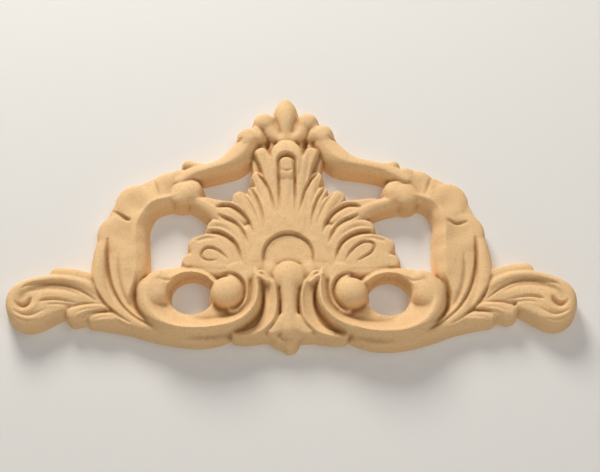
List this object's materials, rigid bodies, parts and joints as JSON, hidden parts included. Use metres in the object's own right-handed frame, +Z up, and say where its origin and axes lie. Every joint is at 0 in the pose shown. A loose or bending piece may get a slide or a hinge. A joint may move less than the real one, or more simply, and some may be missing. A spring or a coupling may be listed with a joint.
{
  "type": "wood applique",
  "caption": "Carved wood crest applique: a fluted shell under a budded crown, between pierced C-scrolls and tall flank leaves that end in rolled leaf tails, with a flat back for fixing.",
  "frame": {"origin": "the middle of the flat back, on the wood behind the shell, in line with the middle of the width and the height", "axes": "+X to the right as the carving is looked at, +Z up to the crown, the carving faces -Y and the back faces +Y"},
  "size_m": [0.2999, 0.017, 0.1492],
  "materials": {
    "carved_wood": "raw, sanded, open fine pores, matt"
  },
  "bodies": {
    "root": {"crest_applique": "carved_wood"}
  },
  "joints": []
}
